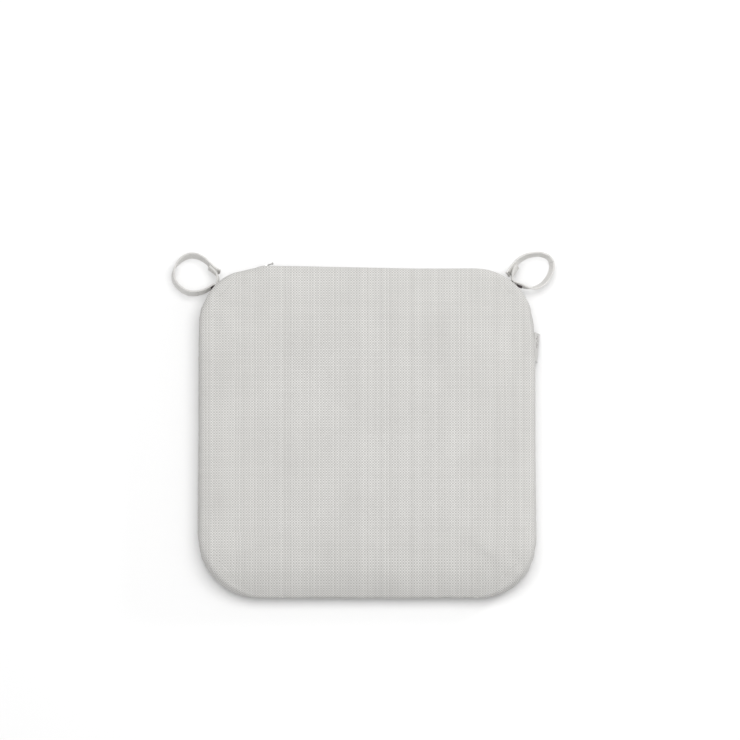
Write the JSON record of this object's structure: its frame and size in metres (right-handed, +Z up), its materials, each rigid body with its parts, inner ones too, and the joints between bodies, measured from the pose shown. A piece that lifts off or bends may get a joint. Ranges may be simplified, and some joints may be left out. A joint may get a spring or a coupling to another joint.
{
  "type": "chair seat pad",
  "caption": "Square seat pad with rounded corners, a zipped woven cover over a foam core, and a hook-and-loop strap loop at each rear corner.",
  "frame": {"origin": "centre of the pad's flat underside", "axes": "+Z up through the thickness, +X across the width to the right seen from the front, front edge towards -Y and the straps towards +Y"},
  "size_m": [0.4487, 0.4195, 0.04],
  "materials": {
    "cover_fabric": "flat plain weave, two close greys",
    "strap_fabric": "the cover fabric, folded and sewn",
    "liner_fabric": "thin white non-woven",
    "wadding": "soft white fibre",
    "foam": "open-cell foam",
    "zip_tape": "fine twill tape",
    "zip_coil": "satin nylon",
    "zip_metal": "satin nickel",
    "hook_tape": "stiff hooks on a woven tape",
    "loop_tape": "brushed loops on a woven tape",
    "tack_thread": "dense zigzag of dark thread",
    "thread": "twisted polyester thread",
    "label_tape": "woven tape, blank"
  },
  "bodies": {
    "pad": {"top_cover": "cover_fabric", "bottom_cover": "cover_fabric", "seam_allowance": "cover_fabric", "overlock_thread": "thread", "inner_liner": "liner_fabric", "wadding_top": "wadding", "wadding_bottom": "wadding", "foam_core": "foam", "zip_tape_upper": "zip_tape", "zip_tape_lower": "zip_tape", "zip_coil_upper": "zip_coil", "zip_coil_lower": "zip_coil", "zip_end_stops": "zip_metal"},
    "zip_slider": {"zip_slider": "zip_metal"},
    "zip_pull": {"zip_pull": "zip_metal"},
    "side_label": {"side_label": "label_tape"},
    "left_strap_base": {"left_strap_base": "strap_fabric", "left_root_tack": "tack_thread"},
    "left_strap_middle": {"left_strap_middle": "strap_fabric"},
    "left_strap_tail": {"left_strap_tail": "strap_fabric", "left_hook_patch": "hook_tape", "left_hook_stitching": "thread"},
    "left_tab": {"left_tab": "strap_fabric", "left_loop_patch": "loop_tape", "left_loop_stitching": "thread"},
    "right_strap_base": {"right_strap_base": "strap_fabric", "right_root_tack": "tack_thread"},
    "right_strap_middle": {"right_strap_middle": "strap_fabric"},
    "right_strap_tail": {"right_strap_tail": "strap_fabric", "right_hook_patch": "hook_tape", "right_hook_stitching": "thread"},
    "right_tab": {"right_tab": "strap_fabric", "right_loop_patch": "loop_tape", "right_loop_stitching": "thread"}
  },
  "joints": [
    {"name": "zip_slide", "type": "slide", "parent": "pad", "child": "zip_slider", "axis": [1, 0, 0], "range_m": [0, 0.235]},
    {"name": "pull_swing", "type": "hinge", "parent": "zip_slider", "child": "zip_pull", "pos_m": [-0.1198, 0.2035, 0.017], "axis": [0, 0, 1], "range_deg": [-12, 158]},
    {"name": "label_flip", "type": "hinge", "parent": "pad", "child": "side_label", "pos_m": [0.201, 0.105, 0.017], "axis": [0, -1, 0], "range_deg": [-18, 105], "stiffness_Nm_per_rad": 0.002},
    {"name": "left_strap_swing", "type": "hinge", "parent": "pad", "child": "left_strap_base", "pos_m": [-0.17997, 0.17797, 0.017], "axis": [0, 0, -1], "range_deg": [0, 24], "stiffness_Nm_per_rad": 0.004},
    {"name": "left_strap_open", "type": "hinge", "parent": "left_strap_base", "child": "left_strap_middle", "pos_m": [-0.22281, 0.17794, 0.017], "axis": [0, 0, 1], "range_deg": [0, 80]},
    {"name": "left_tail_open", "type": "hinge", "parent": "left_strap_middle", "child": "left_strap_tail", "pos_m": [-0.22195, 0.21074, 0.017], "axis": [0, 0, 1], "range_deg": [0, 80]},
    {"name": "left_tab_swing", "type": "hinge", "parent": "pad", "child": "left_tab", "pos_m": [-0.17547, 0.18212, 0.017], "axis": [0, 0, 1], "range_deg": [0, 35], "stiffness_Nm_per_rad": 0.004},
    {"name": "right_strap_swing", "type": "hinge", "parent": "pad", "child": "right_strap_base", "pos_m": [0.17997, 0.17797, 0.017], "axis": [0, 0, 1], "range_deg": [0, 12], "stiffness_Nm_per_rad": 0.004},
    {"name": "right_strap_open", "type": "hinge", "parent": "right_strap_base", "child": "right_strap_middle", "pos_m": [0.21752, 0.1898, 0.017], "axis": [0, 0, -1], "range_deg": [0, 80]},
    {"name": "right_tail_open", "type": "hinge", "parent": "right_strap_middle", "child": "right_strap_tail", "pos_m": [0.20612, 0.21951, 0.017], "axis": [0, 0, -1], "range_deg": [0, 80]},
    {"name": "right_tab_swing", "type": "hinge", "parent": "pad", "child": "right_tab", "pos_m": [0.17547, 0.18212, 0.017], "axis": [0, 0, -1], "range_deg": [0, 35], "stiffness_Nm_per_rad": 0.004}
  ],
  "couplings": [
    {"joint": "left_tail_open", "follows": "left_strap_open", "ratio": 1},
    {"joint": "right_tail_open", "follows": "right_strap_open", "ratio": 1}
  ]
}
